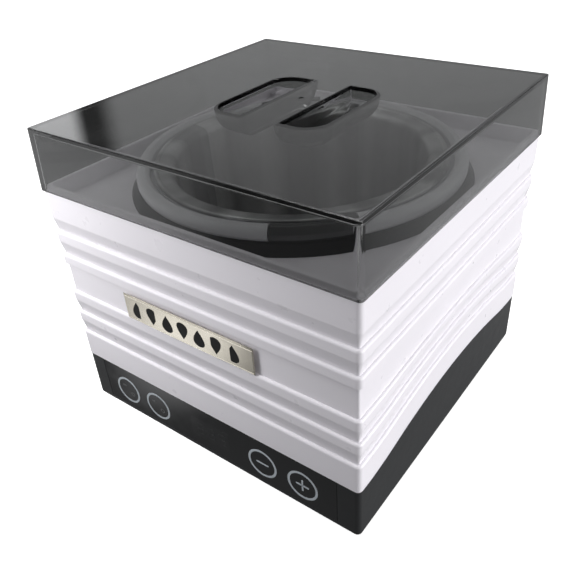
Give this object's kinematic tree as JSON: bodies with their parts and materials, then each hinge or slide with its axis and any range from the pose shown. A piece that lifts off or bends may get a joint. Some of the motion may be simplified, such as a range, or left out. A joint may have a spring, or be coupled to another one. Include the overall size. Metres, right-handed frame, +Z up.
{
  "type": "wax warmer pot",
  "caption": "Square salon wax warmer: ribbed shell on a dark base with touch keys, a removable round pot and a smoked lift-off lid.",
  "frame": {"origin": "centre of the underside of the feet, on the surface the warmer stands on", "axes": "+Z up; -Y towards the user and the touch panel; +X to the user's right when facing the panel"},
  "size_m": [0.25, 0.25, 0.2257],
  "materials": {
    "white_shell": "moulded ABS, light satin gloss",
    "dark_base": "moulded, fine satin texture",
    "touch_glass": "polished acrylic",
    "badge_metal": "nickel, brushed face",
    "smoked_lid": "clear smoked acrylic",
    "pot_aluminium": "spun, satin",
    "collar_plastic": "moulded, heat proof",
    "grip_plastic": "polished phenolic",
    "trim_plastic": "polished phenolic",
    "well_aluminium": "drawn, matte",
    "foot_rubber": "matte",
    "plated_steel": "zinc plated",
    "heater_silicone": "silicone sheet",
    "insulation_felt": "ceramic wool felt",
    "gasket_silicone": "silicone",
    "circuit_board": "solder mask over glass fibre",
    "black_component": "moulded",
    "transformer_case": "potted case",
    "relay_case": "moulded",
    "capacitor_case": "moulded",
    "terminal_plastic": "moulded",
    "fuse_glass": "clear, with plated caps",
    "brass_contact": "nickel over brass",
    "display_case": "dark red filter",
    "red_lead": "silicone sleeve",
    "yellow_green_lead": "silicone sleeve",
    "white_lead": "glass-braid sleeve",
    "grey_lead": "PVC sleeve"
  },
  "bodies": {
    "root": {"housing_shell": "white_shell", "base_tray": "dark_base", "control_fascia": "touch_glass", "nameplate": "badge_metal", "rubber_feet": "foot_rubber", "housing_screws": "plated_steel", "well_trim_ring": "trim_plastic", "trim_screws": "plated_steel", "heating_well": "well_aluminium", "band_heater": "heater_silicone", "insulation_sleeve": "insulation_felt", "insulation_disc": "insulation_felt", "well_gasket": "gasket_silicone", "heat_shield": "plated_steel", "shield_standoffs": "plated_steel", "shield_screws": "plated_steel", "thermal_cutoff": "black_component", "temperature_probe": "plated_steel", "power_board": "circuit_board", "board_screws": "plated_steel", "transformer": "transformer_case", "relay": "relay_case", "filter_capacitor": "capacitor_case", "terminal_blocks": "terminal_plastic", "mains_fuse": "fuse_glass", "control_board": "circuit_board", "control_board_screws": "plated_steel", "touch_springs": "plated_steel", "display_module": "display_case", "controller_chip": "black_component", "buzzer": "black_component", "mains_inlet": "black_component", "inlet_pins": "brass_contact", "inlet_screws": "plated_steel", "mains_leads": "red_lead", "earth_lead": "yellow_green_lead", "heater_leads": "white_lead", "sensor_leads": "grey_lead", "signal_lead": "grey_lead"},
    "lid": {"lid_cover": "smoked_lid"},
    "pot": {"wax_pot": "pot_aluminium", "pot_collar": "collar_plastic", "front_grip": "grip_plastic", "rear_grip": "grip_plastic"}
  },
  "joints": [
    {"name": "lid_lift", "type": "slide", "parent": "root", "child": "lid", "axis": [0, 0, 1], "range_m": [0, 0.26]},
    {"name": "pot_lift", "type": "slide", "parent": "root", "child": "pot", "axis": [0, 0, 1], "range_m": [0, 0.13]}
  ],
  "couplings": [
    {"joint": "pot_lift", "follows": "lid_lift", "ratio": 0.5}
  ]
}
